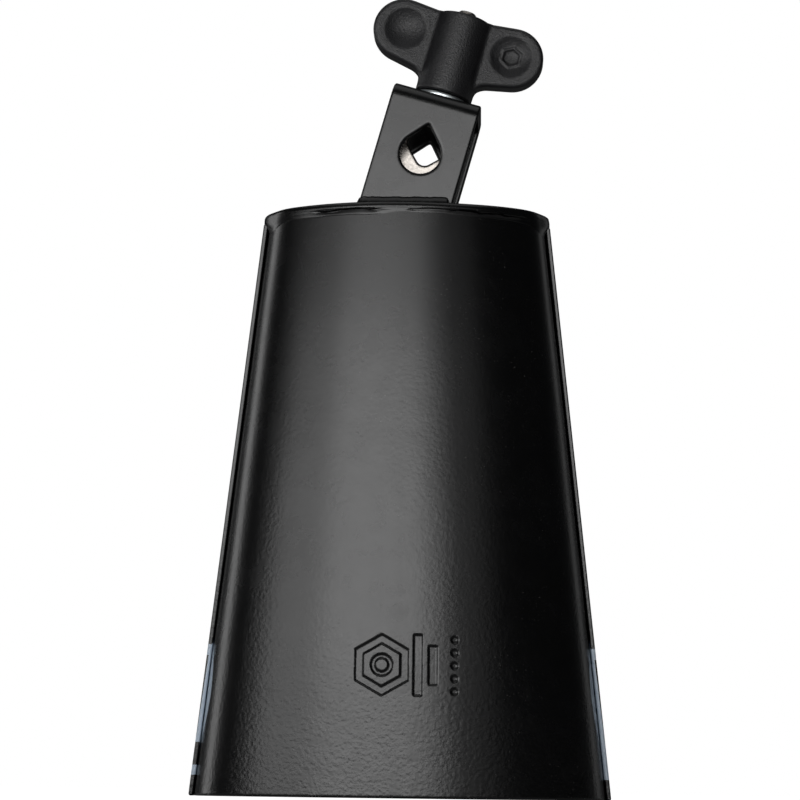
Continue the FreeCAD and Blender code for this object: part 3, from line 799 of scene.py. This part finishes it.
def lay_bead(name, points, filler, node, **values):
    """A weld bead along points in millimetres, with a share of filler at each."""
    edges = [(step, step + 1) for step in range(len(points) - 1)]
    path = bpy.data.meshes.new(f"{name}_line")
    path.from_pydata((np.asarray(points) * MM).tolist(), edges, [])
    share = path.attributes.new("filler", "FLOAT", "POINT")
    share.data.foreach_set("value", filler.astype(np.float32))
    values = {key.replace("_", " "): value for key, value in values.items()}
    mesh = grown_mesh(name, path, *WELD_TREE, {**values, "Finish": FINISHES["black_coat"]})
    finish_piece(name, mesh, "bell", "black_coat", [node], sharp=60)


# %% [markdown]
# ## The clamp's own axes
# The strap leans 15.5 degrees to the right of the bell's upright, and the stud, washer and nut
# stand on the same lean.  Their shapes are simplest in upright axes of their own, so they are
# made there and then turned into place.  The print compares that turn with the frame's own axis.

# %% Clamp axes
LEAN = math.radians(15.5)
TWIST = math.radians(-1.7)
STRAP_FOOT = np.array([-0.9, 0.0, CAP_TOP])
CLAMP_TURN = np.array(Matrix.Rotation(TWIST, 3, "Z") @ Matrix.Rotation(LEAN, 3, "Y"))
STUD_OFFSET = 0.8
STUD_FOOT = STRAP_FOOT + CLAMP_TURN @ np.array([STUD_OFFSET, 0, 0])
slide_axis = next(joint for joint in frame["joints"] if joint["name"] == "eyebolt_slide")["axis"]
print("stud leans along", np.round(CLAMP_TURN[:, 2], 4), "slides along", np.round(slide_axis, 4))


def into_place(points, foot):
    return np.asarray(points) @ CLAMP_TURN.T + foot


# %% [markdown]
# ## Solids from distances
# The strap, the eye and the wing nut are blends of simple forms: slabs, cylinders and hollows that
# run into each other with small fillets.  Booleans and bevels leave ragged corners on those.  A
# distance function doesn't: it says how far any point is from the surface, and a soft minimum
# joins two forms with a fillet of a chosen size.  The surface where the distance is zero is then
# meshed: each grid cell it crosses gets one corner, and each crossed grid edge gets one quad.

# %% Meshing a distance function
def skin(gap, low, high, step):
    """Corners and quads of the surface where gap(points) is zero, inside the box."""
    counts = np.ceil((np.array(high) - np.array(low)) / step).astype(int) + 1
    grid = np.stack(np.meshgrid(*(np.arange(count) for count in counts), indexing="ij"), -1)
    field = gap(grid.reshape(-1, 3) * step + np.array(low)).reshape(counts)
    cells = tuple(counts - 1)
    weight = np.zeros(np.prod(cells))
    total = np.zeros((np.prod(cells), 3))
    quads = []
    for axis in range(3):
        first = np.take(field, range(counts[axis] - 1), axis)
        second = np.take(field, range(1, counts[axis]), axis)
        cut = np.argwhere((first < 0) != (second < 0))
        a, b = first[tuple(cut.T)], second[tuple(cut.T)]
        spot = cut.astype(float)
        spot[:, axis] += a / (a - b)
        one, two = [other for other in range(3) if other != axis]
        ring = []
        for back_one, back_two in ((1, 1), (0, 1), (0, 0), (1, 0)):
            cell = cut.copy()
            cell[:, one] -= back_one
            cell[:, two] -= back_two
            flat = np.ravel_multi_index(tuple(cell.T), cells)
            weight += np.bincount(flat, minlength=len(weight))
            for part in range(3):
                total[:, part] += np.bincount(flat, spot[:, part], minlength=len(weight))
            ring.append(flat)
        ring = np.stack(ring, 1)
        outward = (a < 0) != (axis == 1)
        quads.append(np.where(outward[:, None], ring, ring[:, ::-1]))
    used = weight > 0
    number = np.cumsum(used) - 1
    corners = total[used] / weight[used, None] * step + np.array(low)
    for _ in range(3):
        near = gap(corners)
        slope = np.stack([
            (gap(corners + shift) - gap(corners - shift)) / 0.04 for shift in 0.02 * np.eye(3)
        ], 1)
        steep = np.maximum((slope**2).sum(1), 0.3)
        corners = corners - slope * np.clip(near / steep, -step, step)[:, None]
    return corners, number[np.concatenate(quads)].tolist()


def skin_piece(name, gap, low, high, step, foot, *about, sharp=50):
    corners, faces = skin(gap, low, high, step)
    add_piece(name, into_place(corners, foot), faces, *about, sharp=sharp)


def soft_min(a, b, size):
    overlap = np.maximum(size - np.abs(a - b), 0) / size
    return np.minimum(a, b) - overlap**2 * size / 4


def soft_max(a, b, size):
    return -soft_min(-a, -b, size)


def outline_gap(points, x, z):
    """Signed distance from (x, z) to a closed outline, negative inside."""
    nearest = np.full(x.shape, 1e9)
    inside = np.zeros(x.shape, bool)
    for (start_x, start_z), (end_x, end_z) in zip(points, np.roll(points, -1, 0)):
        run_x, run_z = end_x - start_x, end_z - start_z
        from_x, from_z = x - start_x, z - start_z
        share = np.clip((from_x * run_x + from_z * run_z) / (run_x**2 + run_z**2), 0, 1)
        nearest = np.minimum(nearest, (from_x - run_x * share) ** 2 + (from_z - run_z * share) ** 2)
        if run_z:
            over = (start_z <= z) != (end_z <= z)
            inside ^= over & (x < run_x * from_z / run_z + start_x)
    return np.where(inside, -1, 1) * np.sqrt(nearest)


# %% [markdown]
# ## The strap bracket
# One strap, 2.9 mm thick, is bent into an upside-down U and cut so that it stands flat on the
# plate although it leans.  A teardrop hole goes through both sides for the rod, and a round one
# through the top for the stud.

# %% The strap
STRAP_HALF_WIDTH = 15.85
STRAP_HALF_DEPTH = 15.5
STRAP_RISE = 44.3
STRAP_GAUGE = 2.9
STRAP_BEND = 5.2
STRAP_EDGE, STRAP_CORNER = 0.75, 1.3
ROD_HOLE = (7.15, 21.3)
ROD_HOLE_EDGE = 1.1
NOTCH_ANGLE = math.radians(41)
NOTCH_BLUNTING, NOTCH_ROUNDING = 0.2, 0.7
STUD_HOLE_RADIUS, STUD_HOLE_EDGE = 4.5, 0.6


def teardrop_gap(x, z, radius, centre):
    up = z - centre
    side = np.abs(x)
    flank = side * math.cos(NOTCH_ANGLE) + up * math.sin(NOTCH_ANGLE) - radius
    tip = up - radius / math.sin(NOTCH_ANGLE) + NOTCH_BLUNTING
    on_flank = up * math.cos(NOTCH_ANGLE) > side * math.sin(NOTCH_ANGLE)
    return np.where(on_flank, soft_max(flank, tip, NOTCH_ROUNDING), np.hypot(side, up) - radius)


def strap_gap(points):
    x, y, z = points.T
    middle = STRAP_BEND - STRAP_GAUGE / 2
    beyond_y = np.abs(y) - (STRAP_HALF_DEPTH - STRAP_BEND)
    beyond_z = z - (STRAP_RISE - STRAP_BEND)
    line = np.hypot(np.maximum(beyond_y, 0), np.maximum(beyond_z, 0)) + np.minimum(
        np.maximum(beyond_y, beyond_z), 0
    ) - middle
    beside = np.abs(x) - STRAP_HALF_WIDTH
    plate = rounded_meet(np.abs(line) - STRAP_GAUGE / 2, beside, STRAP_EDGE)
    plate = np.maximum(plate, rounded_meet(beside, z - STRAP_RISE, STRAP_CORNER))
    plate = soft_max(plate, -teardrop_gap(x, z, *ROD_HOLE), ROD_HOLE_EDGE)
    stud_hole = STUD_HOLE_RADIUS - np.hypot(x - STUD_OFFSET, y)
    plate = soft_max(plate, np.where(z > STRAP_RISE - 8, stud_hole, -9.0), STUD_HOLE_EDGE)
    foot = -(points @ CLAMP_TURN[2])
    return np.maximum(plate, foot)


skin_piece(
    "strap", strap_gap, (-17, -17, -6), (17, 17, 46), 0.42, STRAP_FOOT,
    "bell", "black_coat", ["mount_bracket"],
)

# %% The beads at the strap's foot
FOOT_BEAD_REACH = 16.4
FOOT_BEAD_TAPER = 1.6
foot_twist = np.array(Matrix.Rotation(TWIST, 2))
for name, node, side in (
    ("foot_bead_front", "bracket_weld_front", -1), ("foot_bead_rear", "bracket_weld_rear", 1),
):
    reach = spaced(-FOOT_BEAD_REACH, FOOT_BEAD_REACH, 1.0)
    line = np.column_stack([reach, np.full(len(reach), side * (STRAP_HALF_DEPTH + 0.4))])
    line = line @ foot_twist.T + STRAP_FOOT[:2]
    line = np.column_stack([line, np.full(len(reach), CAP_TOP + 0.5)])
    ends = np.clip((FOOT_BEAD_REACH - np.abs(reach)) / FOOT_BEAD_TAPER, 0, 1)
    lay_bead(
        name, line, 0.45 + 0.55 * np.sqrt(ends), node,
        Width=2.7 * MM, Tallness=1.6, Point_Spacing=0.35 * MM, Pulse_Length=2.4 * MM,
        Pulse_Share=0.012, Wander_Share=0.09, Seed=11.0 + side,
    )

# %% [markdown]
# ## The eyebolt
# A flat eye pulls the rod up into the teardrop's notch, and a threaded stud carries the nut.  The
# eye is a slab with a square opening whose floor is a right-angled seat.  The stud's thread is a
# rule, a ridge that climbs 1.25 mm a turn, so a Geometry Nodes tree bends a flat sheet of points
# into it.

# %% The eye
EYE_HALF_GAUGE, EYE_EDGE = 3.5, 0.7
SHANK_RADIUS, SHANK_MIDDLE, SHANK_HALF = 3.55, 37.5, 2.0


def rounded_outline(parts):
    """Points of a closed outline from corners given as (x, z, radius, first, last degrees)."""
    points = []
    for x, z, radius, first, last in parts:
        for turn in np.radians(np.linspace(first, last, 9)):
            points.append((x + radius * math.cos(turn), z + radius * math.sin(turn)))
    return np.array(points)


eye_outer = rounded_outline([
    (3, 22.6, 9, -90, 0), (7, 32, 5, 0, 90), (-7, 32, 5, 90, 180), (-3, 22.6, 9, 180, 270),
])
eye_inner = rounded_outline([
    (0, 22.94, 3, 225, 315), (7.49, 26.2, 0.01, 315, 360), (5, 32.9, 2.5, 0, 90),
    (-5, 32.9, 2.5, 90, 180), (-7.49, 26.2, 0.01, 180, 225),
])


def eye_gap(points):
    x, y, z = points.T
    ring = np.maximum(outline_gap(eye_outer, x, z), -outline_gap(eye_inner, x, z))
    plate = rounded_meet(ring, np.abs(y) - EYE_HALF_GAUGE, EYE_EDGE)
    shank = rounded_meet(np.hypot(x, y) - SHANK_RADIUS, np.abs(z - SHANK_MIDDLE) - SHANK_HALF, 0.3)
    return soft_min(plate, shank, 1.2)


skin_piece(
    "eye_plate", eye_gap, (-13, -5, 12.5), (13, 5, 41), 0.4, STUD_FOOT,
    "bolt", "bright_nickel", ["eyebolt"],
)


# %% The stud's thread
RIDGE_LOW, RIDGE_HIGH, RIDGE_STEEPNESS = 0.15, 1.12, 2.6


def make_thread_tree():
    tree, given, result, names = new_group("stud_thread", {
        "Radius": 0.004, "Depth": 0.0007, "Pitch": 0.00125, "Bottom": 0.0, "Top": 0.04,
        "Chamfer": 0.001, "Around": 40, "Up": 300, "Finish": "NodeSocketMaterial",
    }, "Stud", "NodeSocketGeometry", "GeometryNodeTree")
    calc = partial(add_math, tree)
    step = partial(tree_node, tree)
    sheet = step(
        "GeometryNodeMeshGrid",
        {"Size X": 1.0, "Size Y": 1.0, "Vertices X": given["Around"], "Vertices Y": given["Up"]},
    )
    spot = step("ShaderNodeSeparateXYZ", {0: sheet["UV Map"]})
    length = calc("SUBTRACT", given["Top"], given["Bottom"])
    climb = calc("MULTIPLY_ADD", spot[1], length, given["Bottom"])
    turn = calc("MULTIPLY", spot[0], 2 * math.pi)
    phase = calc("SUBTRACT", calc("DIVIDE", climb, given["Pitch"]), spot[0])
    ridge = calc("MULTIPLY", calc("PINGPONG", phase, 0.5), RIDGE_STEEPNESS)
    ridge = calc("MINIMUM", calc("MAXIMUM", ridge, RIDGE_LOW), RIDGE_HIGH)
    sunk = calc("SUBTRACT", RIDGE_HIGH, ridge)
    sunk = calc("MULTIPLY", sunk, given["Depth"])
    radius = calc("SUBTRACT", given["Radius"], sunk)
    tip_radius = calc("SUBTRACT", given["Radius"], given["Chamfer"])
    limit = calc("ADD", tip_radius, calc("SUBTRACT", given["Top"], climb))
    radius = calc("MINIMUM", radius, limit)
    above_first = calc("GREATER_THAN", spot[1], 1e-6)
    below_last = calc("LESS_THAN", spot[1], 1 - 1e-6)
    radius = calc("MULTIPLY", radius, calc("MULTIPLY", above_first, below_last))
    place = step("ShaderNodeCombineXYZ", {
        "X": calc("MULTIPLY", radius, calc("COSINE", turn)),
        "Y": calc("MULTIPLY", radius, calc("SINE", turn)),
        "Z": climb,
    })[0]
    stud = step("GeometryNodeSetPosition", {"Geometry": sheet["Mesh"], "Position": place})[0]
    hand_over(tree, stud, given["Finish"], result)
    return tree, names


thread_mesh = grown_mesh("stud_thread", bpy.data.meshes.new("stud_seed"), *make_thread_tree(), {
    "Radius": 4.0 * MM, "Depth": 0.65 * MM, "Pitch": 1.25 * MM, "Bottom": 38.8 * MM,
    "Top": 78.6 * MM, "Chamfer": 1.3 * MM, "Around": 41, "Up": 324,
    "Finish": FINISHES["bright_nickel"],
})
clamp_matrix = Matrix(CLAMP_TURN.tolist()).to_4x4()
clamp_matrix.translation = Vector(STUD_FOOT * MM)
thread_mesh.transform(clamp_matrix)
finish_piece("stud_thread", thread_mesh, "bolt", "bright_nickel", sharp=50)

# %% [markdown]
# ## The washer
# A stamped washer is turned round its axis like a lathe part: a section of a few points, swept
# round.  Its edges are slightly rolled by the punch.

# %% The washer
def turned(profile, steps=96):
    """Corners and faces of a closed section of (radius, height), swept round the axis."""
    corners = []
    for turn in np.linspace(0, 2 * math.pi, steps, endpoint=False):
        across, back = math.cos(turn), math.sin(turn)
        corners += [(radius * across, radius * back, height) for radius, height in profile]
    return np.array(corners), lattice(steps, len(profile), round_rows=True, round_columns=True)


inner, outer, under, over = 4.3, 9.6, 44.3, 46.0
roll = 0.35
washer_profile = [
    (inner, under + 0.15), (inner + 0.15, under), (outer - roll, under), (outer - 0.1, under + 0.1),
    (outer, under + roll), (outer, over - roll - 0.2), (outer - 0.12, over - 0.22),
    (outer - roll, over - 0.04), (outer - 0.9, over), (inner + 0.3, over),
    (inner + 0.08, over - 0.1), (inner, over - 0.3),
]
washer_corners, washer_faces = turned(washer_profile)
add_piece(
    "flat_washer", into_place(washer_corners, STUD_FOOT), washer_faces, "bell", "zinc_plate",
    ["washer"],
)

# %% [markdown]
# ## The wing nut
# The nut is moulded in hard plastic: a slightly tapered hub, two flat wings with round ends, and a
# thumb dimple on each face.  The wings leave the hub's sides in a wide fillet underneath and a
# tight one in front.  The right front dimple carries a small raised hexagon.

# %% The wing nut
NUT_BASE = 46.4
HUB_HEIGHT = 29.4
WING_CENTRE = (20.1, 66.1)
WING_RADIUS = 11.0
WING_HALF_GAUGE = 4.0
WING_ROOT_X = 5.0
WING_ROOTS = (NUT_BASE + 5.3, NUT_BASE + 29.2)
DIMPLE = (7.5, 2.2)
DIMPLE_CENTRE = (19.5, 66.4)
HUB_RADIUS, HUB_TAPER = 10.25, 0.35
TRUNK_HALF_WIDTH = 9.4
BORE_RADIUS = 4.55
BADGE_SIZE, BADGE_HALF_LINE, BADGE_RELIEF = 3.1, 0.42, 0.4
SEAT_SIZE, SEAT_RISE = 6.5, 12.3


def wing_outline():
    """One wing from the front: the round end and the two lines that run to the hub."""
    centre_x, centre_z = WING_CENTRE
    ends = []
    for root_z, way in zip(WING_ROOTS, (1, -1)):
        across, up = WING_ROOT_X - centre_x, root_z - centre_z
        spread = math.acos(WING_RADIUS / math.hypot(across, up))
        ends.append(math.atan2(up, across) + way * spread)
    turns = np.linspace(*ends, 40)
    end = np.column_stack([
        centre_x + WING_RADIUS * np.cos(turns), centre_z + WING_RADIUS * np.sin(turns)
    ])
    return np.vstack([(WING_ROOT_X, WING_ROOTS[0]), end, (WING_ROOT_X, WING_ROOTS[1])])


wing_edge = wing_outline()


def nut_gap(points):
    x, y, z = points.T
    up = z - NUT_BASE
    half = HUB_HEIGHT / 2
    around = np.hypot(x, y)
    hub_radius = HUB_RADIUS - HUB_TAPER * up / HUB_HEIGHT
    hub = rounded_meet(around - hub_radius, np.abs(up - half) - half, 0.8)
    trunk = np.maximum(np.abs(x) - TRUNK_HALF_WIDTH, np.abs(up - half) - half)
    spread = 0.6 + 4.6 * (1 - soft_step(up, 9, 17))
    flat = soft_min(outline_gap(wing_edge, np.abs(x), z), trunk, spread)
    slab = rounded_meet(flat, np.abs(y) - WING_HALF_GAUGE, 1.5)
    solid = soft_min(hub, slab, 1.1)
    reach, depth = DIMPLE
    ball = (reach**2 + depth**2) / (2 * depth)
    beside, above = np.abs(x) - DIMPLE_CENTRE[0], z - DIMPLE_CENTRE[1]
    facing = np.abs(y) - (WING_HALF_GAUGE + ball - depth)
    dimple = np.sqrt(beside**2 + facing**2 + above**2) - ball
    badge = np.abs(hexagon_gap(beside, above, BADGE_SIZE)) - BADGE_HALF_LINE
    badge = BADGE_RELIEF * (1 - soft_step(badge, -0.15, 0.25)) * (x > 0) * (y < 0)
    solid = soft_max(solid, -(dimple + badge), 0.35)
    solid = soft_max(solid, BORE_RADIUS - around, 0.5)
    seat = np.maximum(hexagon_gap(y, x, SEAT_SIZE), up - SEAT_RISE)
    return soft_max(solid, -seat, 0.3)


skin_piece(
    "wing_nut_moulding", nut_gap, (-33, -12, 45), (33, 12, 79), 0.42, STUD_FOOT,
    "nut", "black_plastic", ["wing_nut"], sharp=55,
)

# %% The moulded-in insert keeps its CAD shape
insert = frame["nodes"]["threaded_insert"]
insert.data.materials.clear()
insert.data.materials.append(FINISHES["zinc_plate"])
print("threaded_insert wears", FINISHES["zinc_plate"].name)

# %% [markdown]
# ## Floor, light and camera
# Black gloss shows only what it reflects, so the light is arranged as shapes: a big soft panel in
# front and a little to the left gives the front its broad sheen, a nearer one lifts the middle of
# it, and a weaker one fades it out to the right.  A tall strip at each side draws the bright lines
# along the corners, and a panel overhead lights the plate and the strap's bend.  The camera stands
# just above the mouth's level, looks up a little and is rolled by a fraction of a degree.

# %% The floor
FLOOR_SPAN, FLOOR_CELLS, FLOOR_DROP = 6.0, 12, 0.0002
pale_floor, floor_tree, floor_shader, _, _ = new_finish(
    "pale_floor", (0.45, 0.45, 0.45), (0.4365, 0.4365, 0.4365), 0.6, 0.7,
    relief=0.05, wave=30.0, grain=3.0, share=0.2, patch=400.0, marks=0.5,
)
floor_shader.inputs["Emission Color"].default_value = (1, 1, 1, 1)
seen = floor_tree.nodes.new("ShaderNodeLightPath").outputs["Is Camera Ray"]
floor_tree.links.new(seen, floor_shader.inputs["Emission Strength"])
ticks = np.linspace(-FLOOR_SPAN / 2, FLOOR_SPAN / 2, FLOOR_CELLS + 1)
floor_mesh = bpy.data.meshes.new("floor")
floor_mesh.from_pydata(
    [(x, y, -FLOOR_DROP) for y in ticks for x in ticks], [],
    lattice(FLOOR_CELLS + 1, FLOOR_CELLS + 1),
)
floor_mesh.materials.append(pale_floor)
floor = bpy.data.objects.new("floor", floor_mesh)
scene.collection.objects.link(floor)
floor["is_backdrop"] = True

# %% The lights
TARGET = Vector((0, 0, 0.12))


def soft_light(name, azimuth, elevation, distance, wide, tall, power):
    """A soft panel seen from the bell at an azimuth (0 in front, 90 to the right) in degrees."""
    turn, lift = math.radians(azimuth), math.radians(elevation)
    flat = distance * math.cos(lift)
    away = Vector((flat * math.sin(turn), -flat * math.cos(turn), distance * math.sin(lift)))
    lamp = bpy.data.lights.new(name, "AREA")
    lamp.shape = "RECTANGLE"
    lamp.size, lamp.size_y = wide, tall
    lamp.energy = power
    holder = bpy.data.objects.new(name, lamp)
    holder.location = TARGET + away
    holder.rotation_euler = (-away).to_track_quat("-Z", "Y").to_euler()
    scene.collection.objects.link(holder)


soft_light("wide_front_light", -23, 10.7, 1.80, 3.1, 0.62, 17.5)
soft_light("near_front_light", -13, 10.7, 1.70, 1.4, 0.56, 5.0)
soft_light("right_fade_light", 29, 11, 1.80, 0.6, 0.6, 0.5)
soft_light("left_strip_light", -116, 8, 1.6, 0.45, 1.3, 3.5)
soft_light("right_strip_light", 130, 8, 1.6, 0.3, 1.3, 0.45)
soft_light("overhead_light", 0, 89, 2.3, 2.4, 2.4, 10)

world = bpy.data.worlds.new("studio")
scene.world = world
world.use_nodes = True
sky = world.node_tree
backdrop = next(node for node in sky.nodes if node.type == "BACKGROUND")
seen = sky.nodes.new("ShaderNodeLightPath").outputs["Is Camera Ray"]
sky_colour = mix_colour(sky, seen, (0.018, 0.019, 0.020), (1, 1, 1))
sky.links.new(sky_colour, backdrop.inputs["Color"])
scene.view_settings.view_transform = "Standard"

# %% The camera
CAMERA_PLACE = Vector((-0.8052, -950.0, 2.9543)) * MM
PITCH, YAW, ROLL = 0.14159, 0.00092, 0.01294
camera_data = bpy.data.cameras.new("camera")
camera_data.lens = 122.96
camera = bpy.data.objects.new("camera", camera_data)
look = Matrix.Rotation(YAW, 4, "Z") @ Matrix.Rotation(math.pi / 2 + PITCH, 4, "X")
camera.matrix_world = Matrix.Translation(CAMERA_PLACE) @ look @ Matrix.Rotation(ROLL, 4, "Z")
scene.collection.objects.link(camera)
scene.camera = camera

# %% Sizes for comparison, and the end
new_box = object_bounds()
for label, (low, high) in (("cad", cad_box), ("visual", new_box)):
    print(label, [round(value / MM, 1) for value in (*low, *high)])
